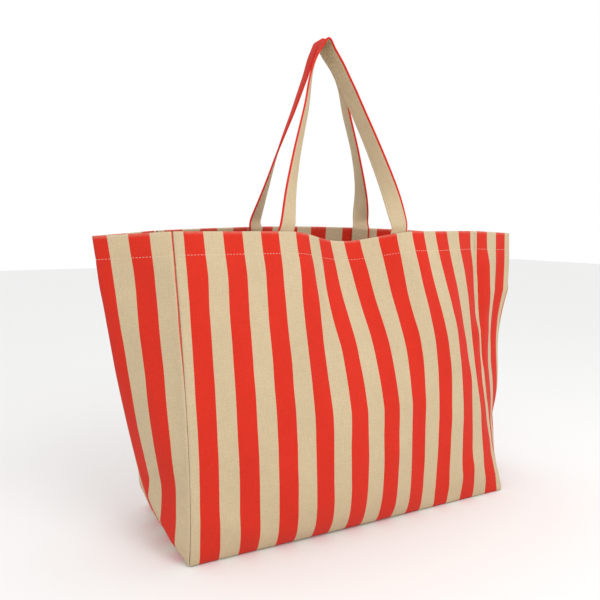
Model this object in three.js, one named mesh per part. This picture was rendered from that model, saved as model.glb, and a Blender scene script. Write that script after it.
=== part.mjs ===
// Large striped canvas tote bag, standing open and empty.
// Millimetres, +Z up, front facing -Y. The walls are laid out about the middle of the base, and the finished
// bag is then moved so that the origin is on the floor under the middle of its overall box.
import * as THREE from "three";

// ---------- Driving dimensions ----------

// Cloth and stripes
const CLOTH = 1.2; // thickness of one layer of canvas
const GAP = 0.3; // clearance kept between layers that touch
const STRIPE = 25; // width of one woven stripe
const EDGE_TRIM = 1; // how far each panel stops short of the corner line it is sewn on

// Body
const BASE_W = 500; // front and back panels, and the base, are this wide
const BASE_D = 200; // end panels, and the base, are this deep
const FRONT_H = 398; // floor to the front rim
const BACK_H = 405; // floor to the back rim, at its middle
const BACK_LEFT_H = 399; // floor to the rim at the back corners
const BACK_RIGHT_H = 394;
const FLOOR_SEAM = 1.8; // the walls start this far above the floor
const CORNER_PULL = 9; // how far the panels' right ends are drawn in by their folds

// Front panel: how it leans in, bellies out and sags between the handles
const LEAN_LEFT = 38;
const LEAN_RISE = 14; // extra lean towards the right
const BELLY_EDGE = 12;
const BELLY_MIDDLE = 17; // extra belly away from the corners
const MOUTH_SAG = 32; // the rim sinks back this far between the handles
const SAG_X = 4;
const SAG_HALF = 106; // half the width of that sag
const SAG_START = 0.42; // fraction of the height where the sag begins
const RIM_DIP = 14; // and the rim is this much lower there
const CURL_RIGHT = 70; // the right corner stands this far behind the base's front edge at the rim
const CURL_START = 0.8; // fraction of the width where the curl towards it begins

// End panels: folded outward along a middle ridge, over a flat triangle at the bottom
const LEFT_RIDGE = 84;
const RIGHT_RIDGE = 86;
const RIGHT_FLARE = 14; // the right ridge stands out this much further at the rim
const RIGHT_CLOSE_RIDGE = 96; // the back right corner closes in no further than for this ridge
const RIDGE_HALF = BASE_D / 2;
const LEFT_CLOSE = 20; // how much further the left end has closed at the rim
const TRIANGLE_H = 100; // height of the flat triangle over each short base edge
const BASE_EASE = 0.05; // fraction of the height over which the ends ease out from the base
const RIDGE_ROUND = 0.08; // softness of the ridge's fold, as a fraction of half the panel
const LEFT_DROOP = 6;
const RIGHT_DROOP = 2;

// Back panel
const BACK_BULGE = 56;

// Hem
const HEM = 30; // depth of the turned-in hem
const STITCH_DROP = 27; // rim to the row of hem stitching
const THREAD = 0.8;
const HEM_TRIM = 3;

// Handles
const STRAP_W = 25;
const STRAP_T = 3;
const FRONT_STRAPS = [150, 334]; // their middles along the front panel
const BACK_STRAPS = [161, 348]; // and along the back panel, from its right corner
const STRAP_SEWN = 28; // length of each end that is sewn inside the hem
const SEWN_RISE = 5.5; // each sewn end goes on this far above the rim
const SEWN_LAYER = -1.5; // and leans out there to this far from the panel's middle layer
const TACK_INSET = 3; // a tack stops this far inside the strap's edges
const TACK_TOP = 3.5; // rim to its upper edge
const TACK_BOTTOM = 5;
const HINGE_RISE = 10; // the free strap flexes on a line this far above the rim
const HINGE_OUT = 2; // and this far outside the panel's middle layer
const FRONT_TOP = new THREE.Vector3(-20, -14, 658);
const BACK_TOP = new THREE.Vector3(-14, 14, 664.5);
const TIP_HALF = 9; // half the width of the fold at the top of a handle
const TIP_DROP = 15; // and how far below the top its shoulders are
// How each leg twists, left then right: degrees near the rim, degrees it settles at, and how soon.
const FRONT_TWISTS = [[12, 50, 3], [14, 68, 3.5]];
const BACK_TWISTS = [[30, 80, 2.5], [0, 97, 7]];
const TWIST_IN = 0.08; // the turn near the rim comes in over this share of a leg's rise
// How far each leg has gone across to the top of the loop, left then right, at these shares of its rise.
const LEG_UP = [0.18, 0.4, 0.625, 0.82];
const FRONT_LEGS = [[0.11, 0.3, 0.525, 0.69], [0.12, 0.32, 0.56, 0.775]];
const BACK_LEGS = [[0.165, 0.36, 0.6, 0.79], [0.05, 0.21, 0.44, 0.62]];

// Bound seam allowances inside
const FIN_START = 2.6; // from the seam line to the near edge of the allowance
const FIN_END = 11;
const FIN_T = 1.6;
const BASE_FIN_SLOPE = 0.5; // rise over run of the allowances round the base

// Colours and finish
const RED = 0xe23a2a;
const CREAM = 0xddc8a2;
const CANVAS_ROUGHNESS = 0.92;
const THREAD_ROUGHNESS = 0.7;

// Fineness of the handles' curves
const HANDLE_STEPS = 60;

// ---------- The walls, as points of (distance along the panel, fraction of the height) ----------

const clamp = THREE.MathUtils.clamp;
const lerp = THREE.MathUtils.lerp;

// A swelling that starts and ends at 0, and peaks at 1 about a quarter of the way up.
const bellyRise = (t) => 4.55 * t ** 0.7 * (1 - t) ** 1.9;

// 1 in the middle of the sag between the handles, 0 at its sides.
function sagShape(x) {
  const off = clamp((x - SAG_X) / SAG_HALF, -1, 1);
  return Math.cos((off * Math.PI) / 2) ** 2;
}

function frontWall(u, t) {
  const a = u / BASE_W;
  const x = -BASE_W / 2 + u - CORNER_PULL * a ** 4 * Math.min(1, t / 0.15);
  const lean = (LEAN_LEFT + LEAN_RISE * a * a) * t ** 2.6;
  const swell = BELLY_EDGE + BELLY_MIDDLE * Math.sin((Math.PI * a) / 0.85) ** 2;
  const sag = clamp((t - SAG_START) / (1 - SAG_START), 0, 1) ** 0.9 * sagShape(x);
  const flatPart = lean - swell * bellyRise(t) + MOUTH_SAG * sag;
  const corner = CURL_RIGHT * (1 - (1 - t) ** 1.6);
  const curl = clamp((a - CURL_START) / (1 - CURL_START), 0, 1) ** 1.3;
  const y = -BASE_D / 2 + lerp(flatPart, corner, curl);
  const z = FLOOR_SEAM + (FRONT_H - FLOOR_SEAM) * t - RIM_DIP * sagShape(x) * t * t;
  return new THREE.Vector3(x, y, z);
}

// The ends leave the base edge gently, then stand out quickly over the bottom triangle.
const fromBase = (t) => 1 - Math.exp(-t / BASE_EASE);
const leftRidge = (t) => LEFT_RIDGE * t ** 0.55 * fromBase(t);
const rightFlare = (t) => RIGHT_FLARE * THREE.MathUtils.smoothstep(t, 0.44, 0.94);
const rightRidge = (t) => RIGHT_RIDGE * (1 - (1 - t) ** 7) ** 1.2 * fromBase(t) + rightFlare(t);

// Distance between the two corners of an end panel whose ridge stands out by this much.
const endSpan = (ridge) => 2 * Math.sqrt(RIDGE_HALF ** 2 - ridge ** 2);

function backCorner(side, t) {
  const left = side < 0;
  const front = frontWall(left ? 0 : BASE_W, t);
  const leftSpan = () => endSpan(leftRidge(t)) - LEFT_CLOSE * t ** 4;
  const rightSpan = () => endSpan(Math.min(rightRidge(t), RIGHT_CLOSE_RIDGE));
  const span = left ? leftSpan() : rightSpan();
  const z = lerp(FLOOR_SEAM, left ? BACK_LEFT_H : BACK_RIGHT_H, t);
  return new THREE.Vector3(front.x, front.y + span, z);
}

// The back panel runs from the right corner to the left, so that its outside faces +Y.
function backWall(u, t) {
  const a = u / BASE_W;
  const point = backCorner(1, t).lerp(backCorner(-1, t), a);
  const middle = Math.max(0, Math.sin(Math.PI * a));
  point.y += BACK_BULGE * (1 - (1 - t) ** 3) * middle ** (1 + 3 * t);
  point.z += (BACK_H - (BACK_LEFT_H + BACK_RIGHT_H) / 2) * middle * t;
  return point;
}

// How far an end panel stands out across its width, from 0 at the corners (s = -1, 1) to 1 at the ridge.
function ridgeShape(s, t) {
  const flat = clamp(1 - (t * FRONT_H) / TRIANGLE_H, 0, 0.999);
  const soft = (v) => Math.sqrt(v * v + RIDGE_ROUND ** 2);
  const fold = (soft(1) - soft(Math.max(Math.abs(s), flat))) / (soft(1) - soft(flat));
  return clamp(fold, 0, 1);
}

function endWall(from, to, side, ridge, droop, u, t) {
  const s = (2 * u) / BASE_D - 1;
  const point = from.lerp(to, u / BASE_D);
  const out = ridgeShape(s, t);
  point.x += side * ridge * out;
  point.z -= droop * out * t;
  return point;
}

// Each end panel runs so that its outside faces away from the bag.
function leftWall(u, t) {
  return endWall(backCorner(-1, t), frontWall(0, t), -1, leftRidge(t), LEFT_DROOP, u, t);
}

function rightWall(u, t) {
  return endWall(frontWall(BASE_W, t), backCorner(1, t), 1, rightRidge(t), RIGHT_DROOP, u, t);
}

// ---------- Solids built from those walls ----------

// A point of a wall, moved off its middle layer along the outward normal.
function onWall(wall, u, t, out) {
  const du = 0.5;
  const dt = 0.002;
  const t0 = Math.max(0, t - dt);
  const t1 = Math.min(1, t + dt);
  const along = wall(u + du, t).sub(wall(u - du, t));
  const up = wall(u, t1).sub(wall(u, t0));
  return wall(u, t).addScaledVector(along.cross(up).normalize(), out);
}

// A closed solid from rows of section points: each row is a ring of the same number of points.
function loft(rings) {
  const n = rings[0].length;
  const positions = rings.flat().flatMap((p) => [p.x, p.y, p.z]);
  const index = [];
  for (let r = 0; r + 1 < rings.length; r++) {
    for (let k = 0; k < n; k++) {
      const a = r * n + k;
      const b = r * n + ((k + 1) % n);
      index.push(a, b, b + n, a, b + n, a + n);
    }
  }
  const last = (rings.length - 1) * n;
  for (let k = 1; k + 1 < n; k++) {
    index.push(0, k + 1, k);
    index.push(last, last + k, last + k + 1);
  }
  const geometry = new THREE.BufferGeometry();
  geometry.setAttribute("position", new THREE.Float32BufferAttribute(positions, 3));
  geometry.setIndex(index);
  geometry.computeVertexNormals();
  return geometry;
}

// A sheet of cloth on a wall: a grid of points on its outer face and one on its inner face,
// closed at the edges.
function sheet(wall, us, ts, inner, outer) {
  const w = us.length;
  const h = ts.length;
  const face = (out) => ts.flatMap((t) => us.map((u) => onWall(wall, u, t, out)));
  const points = [...face(outer), ...face(inner)];
  const at = (i, j, layer) => layer * w * h + j * w + i;
  const index = [];
  const quad = (a, b, c, d) => index.push(a, b, c, a, c, d);
  const middle = (us[0] + us[w - 1]) / 2;
  for (let j = 0; j + 1 < h; j++) {
    for (let i = 0; i + 1 < w; i++) {
      const outside = [at(i, j, 0), at(i + 1, j, 0), at(i + 1, j + 1, 0), at(i, j + 1, 0)];
      const inside = [at(i, j, 1), at(i, j + 1, 1), at(i + 1, j + 1, 1), at(i + 1, j, 1)];
      // The quads' diagonals rise towards the middle, along the creases of an end panel's triangle.
      if (us[i] >= middle) {
        outside.push(outside.shift());
        inside.push(inside.shift());
      }
      quad(...outside);
      quad(...inside);
    }
    quad(at(0, j, 0), at(0, j + 1, 0), at(0, j + 1, 1), at(0, j, 1));
    quad(at(w - 1, j, 0), at(w - 1, j, 1), at(w - 1, j + 1, 1), at(w - 1, j + 1, 0));
  }
  for (let i = 0; i + 1 < w; i++) {
    quad(at(i, 0, 0), at(i, 0, 1), at(i + 1, 0, 1), at(i + 1, 0, 0));
    quad(at(i, h - 1, 0), at(i + 1, h - 1, 0), at(i + 1, h - 1, 1), at(i, h - 1, 1));
  }
  const geometry = new THREE.BufferGeometry();
  geometry.setAttribute("position", new THREE.Float32BufferAttribute(points.flatMap((p) => p.toArray()), 3));
  geometry.setIndex(index);
  geometry.computeVertexNormals();
  return geometry;
}

// A flat strap along a path: side(i) is its width direction at path point i.
function strap(path, side, width, thickness) {
  const rings = path.map((p, i) => {
    const along = path[Math.min(i + 1, path.length - 1)].clone().sub(path[Math.max(i - 1, 0)]).normalize();
    const across = side(i);
    const wide = across.clone().multiplyScalar(width / 2);
    const thick = along.cross(across).normalize().multiplyScalar(thickness / 2);
    const corner = (w, f) => p.clone().addScaledVector(wide, w).addScaledVector(thick, f);
    return [corner(-1, -1), corner(1, -1), corner(1, 1), corner(-1, 1)];
  });
  return loft(rings);
}

const bag = new THREE.Group();

function add(name, geometry, color, roughness = CANVAS_ROUGHNESS) {
  const mesh = new THREE.Mesh(geometry, new THREE.MeshStandardMaterial({ color, roughness, metalness: 0 }));
  mesh.name = name;
  bag.add(mesh);
}

// Every stripe's edges, with the panel's own ends and the strap's edges, kept trim away from the ends.
function columns(width, step, extra, trim) {
  const inside = new Set(extra);
  for (let u = step / 2; u < width; u += step) inside.add(u);
  const kept = [...inside].filter((u) => u > trim + 2 && u < width - trim - 2).sort((a, b) => a - b);
  return [trim, ...kept, width - trim];
}

// Fractions of the height: below the triangles' tops the rows meet the creases at the stripes' edges.
const creaseRows = [0.125, 0.375, 0.625, 0.875].map((share) => (share * TRIANGLE_H) / FRONT_H);
const rows = [0, ...creaseRows, 0.29, 0.38, 0.48, 0.58, 0.68, 0.77, 0.86, 1 - HEM / FRONT_H, 0.965, 1];
const hemRows = rows.slice(-3);
const strapEdges = (centres) => centres.flatMap((u) => [u - STRAP_W / 2, u + STRAP_W / 2]);
const ridgeColumns = [92, 100, 108];

const walls = {
  front: { wall: frontWall, width: BASE_W, extra: strapEdges(FRONT_STRAPS) },
  back: { wall: backWall, width: BASE_W, extra: strapEdges(BACK_STRAPS) },
  left_end: { wall: leftWall, width: BASE_D, extra: ridgeColumns },
  right_end: { wall: rightWall, width: BASE_D, extra: ridgeColumns },
};

// ---------- Panels ----------

function addPanels() {
  for (const [name, { wall, width, extra }] of Object.entries(walls)) {
    const us = columns(width, STRIPE, extra, EDGE_TRIM);
    add(`${name}_panel`, sheet(wall, us, rows, -CLOTH / 2, CLOTH / 2), RED);
  }
  const bottom = new THREE.BoxGeometry(BASE_W - 2 * EDGE_TRIM, BASE_D - 2 * EDGE_TRIM, CLOTH, 10, 4, 1);
  bottom.translate(0, 0, CLOTH / 2);
  add("bottom_panel", bottom, CREAM);
}

// ---------- Hem and its stitching ----------

const hemOuter = -CLOTH / 2 - GAP;
const hemInner = hemOuter - CLOTH;

function addHems() {
  for (const [name, { wall, width, extra }] of Object.entries(walls)) {
    const us = columns(width, STRIPE, extra, HEM_TRIM);
    add(`${name}_hem`, sheet(wall, us, hemRows, hemInner, hemOuter), CREAM);
    const t = 1 - STITCH_DROP / FRONT_H;
    const half = THREAD / 2 / FRONT_H;
    const thread = sheet(wall, us, [t - half, t + half], CLOTH / 2 + GAP, CLOTH / 2 + GAP + THREAD);
    add(`${name}_hem_stitch`, thread, CREAM, THREAD_ROUGHNESS);
  }
}

// ---------- Handles ----------

// The layer of a strap's sewn part, inside the hem, clear of the rim where it starts to bend.
const strapLayer = hemInner - 3 * GAP - STRAP_T / 2;

// The two flex points of a handle, left then right, and the line between them that it turns on.
function hinge(wall, centres) {
  const rise = new THREE.Vector3(0, 0, HINGE_RISE);
  const ends = centres.map((u) => onWall(wall, u, 1, HINGE_OUT).add(rise)).sort((p, q) => p.x - q.x);
  const axis = ends[1].clone().sub(ends[0]).normalize();
  return { ends, axis };
}

// A sewn end follows the hem up to the rim, then turns to lie along the hinge line.
function sewnEnd(wall, centre, axis) {
  const rimShare = 0.8;
  const topCentre = onWall(wall, centre, 1, SEWN_LAYER).add(new THREE.Vector3(0, 0, SEWN_RISE));
  const rightward = Math.sign(wall(centre + 1, 1).x - wall(centre, 1).x);
  return (u, v) => {
    if (v <= rimShare) return onWall(wall, u, 1 - ((1 - v / rimShare) * STRAP_SEWN) / FRONT_H, strapLayer);
    const top = topCentre.clone().addScaledVector(axis, rightward * (u - centre));
    const rise = (v - rimShare) / (1 - rimShare);
    const rim = onWall(wall, u, 1, strapLayer);
    return rim.clone().lerp(top, rise ** 2).setZ(lerp(rim.z, top.z, rise));
  };
}

// The columns of a narrow piece on a panel: its edges, and the stripes' edges between them.
function columnsAcross(u, half) {
  const edges = [u - half, u + half];
  for (let edge = STRIPE / 2; edge < u + half; edge += STRIPE) {
    if (edge > u - half) edges.push(edge);
  }
  return edges.sort((p, q) => p - q);
}

function addStrapEnds(name, wall, centres) {
  const { axis } = hinge(wall, centres);
  const sorted = [...centres].sort((p, q) => wall(p, 1).x - wall(q, 1).x);
  const levels = [0, 0.4, 0.8, 0.9, 1];
  sorted.forEach((u, i) => {
    const side = i === 0 ? "left" : "right";
    const us = columnsAcross(u, STRAP_W / 2);
    const end = sheet(sewnEnd(wall, u, axis), us, levels, -STRAP_T / 2, STRAP_T / 2);
    add(`${name}_${side}_end`, end, CREAM);
    addTack(`${name}_${side}_tack`, wall, u);
  });
}

// The stitching that holds a strap end to the hem, on the outside of the panel.
function addTack(name, wall, u) {
  const inner = CLOTH / 2 + GAP;
  const us = columnsAcross(u, STRAP_W / 2 - TACK_INSET);
  const ts = [TACK_BOTTOM, TACK_TOP].map((drop) => 1 - drop / FRONT_H);
  add(name, sheet(wall, us, ts, inner, inner + THREAD), CREAM, THREAD_ROUGHNESS);
}

function handleCurve(ends, top, legs) {
  const shoulder = (side) => top.clone().add(new THREE.Vector3(side * TIP_HALF, 0, -TIP_DROP));
  const leg = (from, shares) =>
    shares.map((across, i) => {
      const p = from.clone().lerp(top, LEG_UP[i]);
      p.x = lerp(from.x, top.x, across);
      return p;
    });
  const left = [ends[0].clone(), ...leg(ends[0], legs[0]), shoulder(-1)];
  const right = [shoulder(1), ...leg(ends[1], legs[1]).reverse(), ends[1].clone()];
  return new THREE.CatmullRomCurve3([...left, top.clone(), ...right], false, "centripetal");
}

// Degrees that a leg has turned from the hinge line at this share of its rise.
function twistAt(up, [atRim, settled, speed]) {
  const start = atRim * (1 - up) ** 2 * clamp(up / TWIST_IN, 0, 1);
  return start + settled * (1 - (1 - up) ** speed) + (90 - settled) * up ** 6;
}

function addHandle(name, wall, centres, top, legs, twists) {
  const { ends, axis } = hinge(wall, centres);
  const path = handleCurve(ends, top, legs).getSpacedPoints(HANDLE_STEPS);
  const deep = new THREE.Vector3(0, 1, 0);
  const side = (i) => {
    const up = clamp((path[i].z - ends[0].z) / (top.z - ends[0].z), 0, 1);
    const onLeft = i < HANDLE_STEPS / 2;
    const sign = onLeft ? 1 : -1;
    const angle = THREE.MathUtils.degToRad(twistAt(up, onLeft ? twists[0] : twists[1]));
    return axis.clone().multiplyScalar(sign * Math.cos(angle)).addScaledVector(deep, Math.sin(angle));
  };
  add(name, strap(path, side, STRAP_W, STRAP_T), CREAM);
}

// ---------- Bound seam allowances ----------

// An upright allowance stands in from the corner, halfway between the two panels sewn there.
function addCornerBinding(name, [wallA, uA], [wallB, uB]) {
  const beside = 6; // the two panels' directions are taken this far from the corner
  const outward = (wall, u, t) => {
    const inside = u === 0 ? beside : u - beside;
    return onWall(wall, inside, t, 1).sub(wall(inside, t)).setZ(0).normalize();
  };
  const inward = (t) => outward(wallA, uA, t).add(outward(wallB, uB, t)).normalize().negate();
  const ts = rows.filter((t) => t > 0.05 && t < 0.9);
  const middle = (FIN_START + FIN_END) / 2;
  const path = ts.map((t) => wallA(uA, t).addScaledVector(inward(t), middle));
  add(name, strap(path, (i) => inward(ts[i]), FIN_END - FIN_START, FIN_T), CREAM);
}

function addCornerBindings() {
  addCornerBinding("front_left_seam_binding", [frontWall, 0], [leftWall, BASE_D]);
  addCornerBinding("front_right_seam_binding", [frontWall, BASE_W], [rightWall, 0]);
  addCornerBinding("back_left_seam_binding", [backWall, BASE_W], [leftWall, 0]);
  addCornerBinding("back_right_seam_binding", [backWall, 0], [rightWall, BASE_D]);
}

// A base allowance leans in over the bottom panel from its seam.
function addBaseBindings() {
  const short = 16; // the four stop short of each other by this much at every corner
  const middle = (FIN_START + FIN_END) / 2;
  const lift = new THREE.Vector3(0, 0, 1);
  const edges = {
    front: [new THREE.Vector3(0, -BASE_D / 2, 0), new THREE.Vector3(1, 0, 0), BASE_W],
    back: [new THREE.Vector3(0, BASE_D / 2, 0), new THREE.Vector3(1, 0, 0), BASE_W],
    left_end: [new THREE.Vector3(-BASE_W / 2, 0, 0), new THREE.Vector3(0, 1, 0), BASE_D],
    right_end: [new THREE.Vector3(BASE_W / 2, 0, 0), new THREE.Vector3(0, 1, 0), BASE_D],
  };
  for (const [name, [seam, along, length]] of Object.entries(edges)) {
    const lean = seam.clone().normalize().negate().addScaledVector(lift, BASE_FIN_SLOPE).normalize();
    const centre = seam.clone().addScaledVector(lean, middle).addScaledVector(lift, CLOTH + GAP);
    const reach = length / 2 - short;
    const path = [-1, 1].map((end) => centre.clone().addScaledVector(along, end * reach));
    add(`${name}_base_binding`, strap(path, () => lean, FIN_END - FIN_START, FIN_T), CREAM);
  }
}

addPanels();
addHems();
addStrapEnds("front_handle", frontWall, FRONT_STRAPS);
addStrapEnds("back_handle", backWall, BACK_STRAPS);
addHandle("front_handle", frontWall, FRONT_STRAPS, FRONT_TOP, FRONT_LEGS, FRONT_TWISTS);
addHandle("back_handle", backWall, BACK_STRAPS, BACK_TOP, BACK_LEGS, BACK_TWISTS);
addCornerBindings();
addBaseBindings();

const overall = new THREE.Box3().setFromObject(bag);
const middle = overall.getCenter(new THREE.Vector3());
bag.position.set(-middle.x, -middle.y, -overall.min.z);

export default bag;
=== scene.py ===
"""A large striped canvas tote bag, standing open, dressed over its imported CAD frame.

The walls are worked out in millimetres about the middle of the base, with the same formulas as the CAD
panels, and moved into the frame in metres when a mesh is made.
"""

import math

import bpy
import numpy as np
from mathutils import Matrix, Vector


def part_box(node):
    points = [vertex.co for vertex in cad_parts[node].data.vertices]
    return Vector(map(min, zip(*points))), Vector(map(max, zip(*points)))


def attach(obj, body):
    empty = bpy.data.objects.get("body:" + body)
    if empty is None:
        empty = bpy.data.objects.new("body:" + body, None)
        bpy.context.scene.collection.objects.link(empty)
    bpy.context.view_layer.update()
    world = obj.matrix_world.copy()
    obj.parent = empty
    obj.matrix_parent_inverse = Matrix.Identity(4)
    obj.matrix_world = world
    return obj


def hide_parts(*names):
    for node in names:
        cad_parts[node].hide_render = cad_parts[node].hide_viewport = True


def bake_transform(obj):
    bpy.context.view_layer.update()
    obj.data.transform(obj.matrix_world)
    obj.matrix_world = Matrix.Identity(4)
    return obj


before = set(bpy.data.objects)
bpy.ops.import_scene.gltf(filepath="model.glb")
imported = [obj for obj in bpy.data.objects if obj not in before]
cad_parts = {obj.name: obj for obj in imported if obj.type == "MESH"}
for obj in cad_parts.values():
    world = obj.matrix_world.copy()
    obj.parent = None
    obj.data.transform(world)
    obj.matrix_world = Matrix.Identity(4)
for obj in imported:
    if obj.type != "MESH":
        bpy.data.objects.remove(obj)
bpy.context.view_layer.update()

# ---------- Units and place ----------

MM = 0.001
base_low, base_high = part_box("bottom_panel")
CENTRE = np.array([(base_low.x + base_high.x) / 2, (base_low.y + base_high.y) / 2, base_low.z])
ALONG_X = np.array([1.0, 0.0, 0.0])
ALONG_Y = np.array([0.0, 1.0, 0.0])
UP = np.array([0.0, 0.0, 1.0])


def to_frame(points):
    """Millimetres about the middle of the base to metres in the frame."""
    return np.asarray(points, float) * MM + CENTRE


# ---------- Driving dimensions, in millimetres ----------

BASE_W = 500
BASE_D = 200
FRONT_H = 398  # floor to the front rim
BACK_H = 405  # floor to the back rim, at its middle
BACK_LEFT_H = 399  # floor to the rim at the back corners
BACK_RIGHT_H = 394
FLOOR_SEAM = 1.8  # the walls start this far above the floor
CORNER_PULL = 9  # how far the front's right edge is drawn in

LEAN_LEFT = 38  # how far the front leans in at the left end of its rim
LEAN_RISE = 14  # extra lean towards the right
BELLY_EDGE = 12  # how far the front swells out low down, at its edges
BELLY_MIDDLE = 17  # extra belly away from the corners
MOUTH_SAG = 32  # the rim sinks back this far between the handles
SAG_X = 4  # place of that sag's middle
SAG_HALF = 106  # half the width of that sag
SAG_START = 0.42  # fraction of the height where the sag begins
RIM_DIP = 14  # and the rim is this much lower there
CURL_RIGHT = 70  # the right corner stands this far behind the base's front edge at the rim
CURL_START = 0.8  # fraction of the width where the curl towards it begins

LEFT_RIDGE = 84  # how far the left end's upright ridge stands out at the rim
RIGHT_RIDGE = 86  # and the right end's, without its flare
RIGHT_FLARE = 14  # the right ridge stands out this much further at the rim
RIGHT_CLOSE_RIDGE = 96  # the back right corner closes in no further than for this ridge
RIDGE_HALF = BASE_D / 2
LEFT_CLOSE = 20  # how much further the left end has closed at the rim
TRIANGLE_H = 100  # height of the flat triangle over each short base edge
BASE_EASE = 0.05  # fraction of the height over which the ends ease out from the base
RIDGE_ROUND = 0.08  # softness of the ridge's fold, as a fraction of half the panel
LEFT_DROOP = 6  # how much lower the rim is at the ridge
RIGHT_DROOP = 2
BACK_BULGE = 56  # how far the back swells out

CLOTH = 0.9  # thickness of one layer of canvas
STRIPE = 25  # width of one stripe
HEM = 30  # depth of the turned-in hem
HEM_INSET = 3.2  # the hem's ends stop this far short of the panel's edges
FOLD_RADIUS = 1.0  # of the turn at the rim
STITCH_DROP = 27  # rim to the row of hem stitching
SEAM_TUCK = 2.1  # how far the panels' edges roll in at a corner seam
SEAM_ROLL = 4.5  # width of that roll
EDGE_TRIM = 0.5  # how far each panel stops short of its corner line
BASE_TUCK = 1.4  # how far the panels' lower edges roll in under the bag
BASE_SINK = 0.9  # and down
BASE_TRIM = 1.8  # how far the base cloth stops short of its seams
RIM_HIGHLIGHT = 1.6  # width of the painted highlight band along the rim fold
SEAM_HIGHLIGHT = 1.8  # and along the corner seams

STRAP_W = 25
STRAP_T = 2.6
STRAP_SEAM = 9.6  # a strap's middle to each row of stitching along it
STRAP_EDGE = 2.4  # width of the red edge wrapped onto the cream face
STRAP_SEWN = 28  # length of each end that is sewn inside the hem
SEWN_RISE = 5.5  # each sewn end goes on this far above the rim
SEWN_LAYER = -1.5  # and leans out there to this far from the panel's middle layer
HINGE_RISE = 10  # the free strap flexes on a line this far above the rim
HINGE_OUT = 2  # and this far outside the panel's middle layer
TIP_HALF = 9  # half the width of the fold at the top of a handle
TIP_DROP = 15  # and how far below the top its shoulders are
TACK_DROPS = (3.4, 5.2)  # rim to each row of the stitching that holds a strap's end
TACK_HALF = 9.5  # half the length of those rows
# Each leg passes these shares of its rise; the lists below give its share of the way across there.
LEG_UP = (0.18, 0.4, 0.625, 0.82)
# A handle's centres are places along its panel. Its twists are degrees at the rim, degrees the leg
# settles at, and how soon; its shifts move the flex points along the hinge line. Legs, twists and shifts
# name the left leg first.
FRONT_HANDLE = {
    "centres": (150, 334),
    "top": (-20, -14, 658),
    "legs": ((0.11, 0.3, 0.525, 0.69), (0.12, 0.32, 0.56, 0.775)),
    "twists": ((12, 50, 3), (14, 68, 3.5)),
    "shifts": (0, 0),
}
BACK_HANDLE = {
    "centres": (161, 348),
    "top": (-14, 14, 664.5),
    "legs": ((0.165, 0.36, 0.6, 0.79), (0.05, 0.21, 0.44, 0.62)),
    "twists": ((30, 80, 2.5), (18, 95, 5.5)),
    "shifts": (4, 0),
}

FIN_START = 2.6  # a bound allowance starts this far in from its seam
FIN_END = 11  # and ends this far in
FIN_T = 1.8  # its thickness
FIN_SEAM = 3.4  # from its start to the row of stitching
FIN_DEPTH = 7.5  # from its start to where its folded edge begins to turn
BASE_FIN_SLOPE = 0.5  # how steeply the allowances round the base rise
BASE_FIN_SHORT = 16  # they stop this far short of the corners

# ---------- Small maths ----------


def smoothstep(x):
    x = np.clip(x, 0, 1)
    return x * x * (3 - 2 * x)


def unit(v):
    return v / np.maximum(np.linalg.norm(v, axis=-1, keepdims=True), 1e-9)


def lerp(a, b, share):
    return a + (b - a) * share


def lattice(ix, iy, seed):
    value = np.sin(ix * 127.1 + iy * 311.7 + seed * 74.7) * 43758.5453
    return value - np.floor(value)


def noise(x, y, seed):
    """Smooth value noise from -1 to 1 with one cell per unit."""
    ix, iy = np.floor(x), np.floor(y)
    fx, fy = smoothstep(x - ix), smoothstep(y - iy)
    low = lerp(lattice(ix, iy, seed), lattice(ix + 1, iy, seed), fx)
    high = lerp(lattice(ix, iy + 1, seed), lattice(ix + 1, iy + 1, seed), fx)
    return 2 * lerp(low, high, fy) - 1


# ---------- The walls: points of (distance along the panel, fraction of the height) ----------


def xyz(x, y, z):
    return np.stack(np.broadcast_arrays(x, y, z), -1)


def belly_rise(t):
    t = np.clip(t, 0, 1)
    return 4.55 * t**0.7 * (1 - t) ** 1.9


def sag_shape(x):
    return np.cos(np.clip((x - SAG_X) / SAG_HALF, -1, 1) * math.pi / 2) ** 2


def front_wall(u, t):
    a = u / BASE_W
    x = -BASE_W / 2 + u - CORNER_PULL * a**4 * np.minimum(1, t / 0.15)
    lean = (LEAN_LEFT + LEAN_RISE * a * a) * t**2.6
    swell = BELLY_EDGE + BELLY_MIDDLE * np.sin(math.pi * a / 0.85) ** 2
    sag = np.clip((t - SAG_START) / (1 - SAG_START), 0, 1) ** 0.9 * sag_shape(x)
    flat_part = lean - swell * belly_rise(t) + MOUTH_SAG * sag
    corner = CURL_RIGHT * (1 - (1 - t) ** 1.6)
    curl = np.clip((a - CURL_START) / (1 - CURL_START), 0, 1) ** 1.3
    y = -BASE_D / 2 + lerp(flat_part, corner, curl)
    z = FLOOR_SEAM + (FRONT_H - FLOOR_SEAM) * t - RIM_DIP * sag_shape(x) * t * t
    return xyz(x, y, z)


def from_base(t):
    return 1 - np.exp(-t / BASE_EASE)


def left_ridge(t):
    return LEFT_RIDGE * t**0.55 * from_base(t)


def right_ridge(t):
    flare = RIGHT_FLARE * smoothstep((t - 0.44) / 0.5)
    return RIGHT_RIDGE * (1 - (1 - t) ** 7) ** 1.2 * from_base(t) + flare


def end_span(ridge):
    return 2 * np.sqrt(RIDGE_HALF**2 - ridge**2)


def back_corner(side, t):
    """The back edge of an end panel; side is -1 at the left and 1 at the right."""
    if side < 0:
        front, height = front_wall(0.0, t), BACK_LEFT_H
        span = end_span(left_ridge(t)) - LEFT_CLOSE * t**4
    else:
        front, height = front_wall(float(BASE_W), t), BACK_RIGHT_H
        span = end_span(np.minimum(right_ridge(t), RIGHT_CLOSE_RIDGE))
    return xyz(front[..., 0], front[..., 1] + span, lerp(FLOOR_SEAM, height, t))


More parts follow.
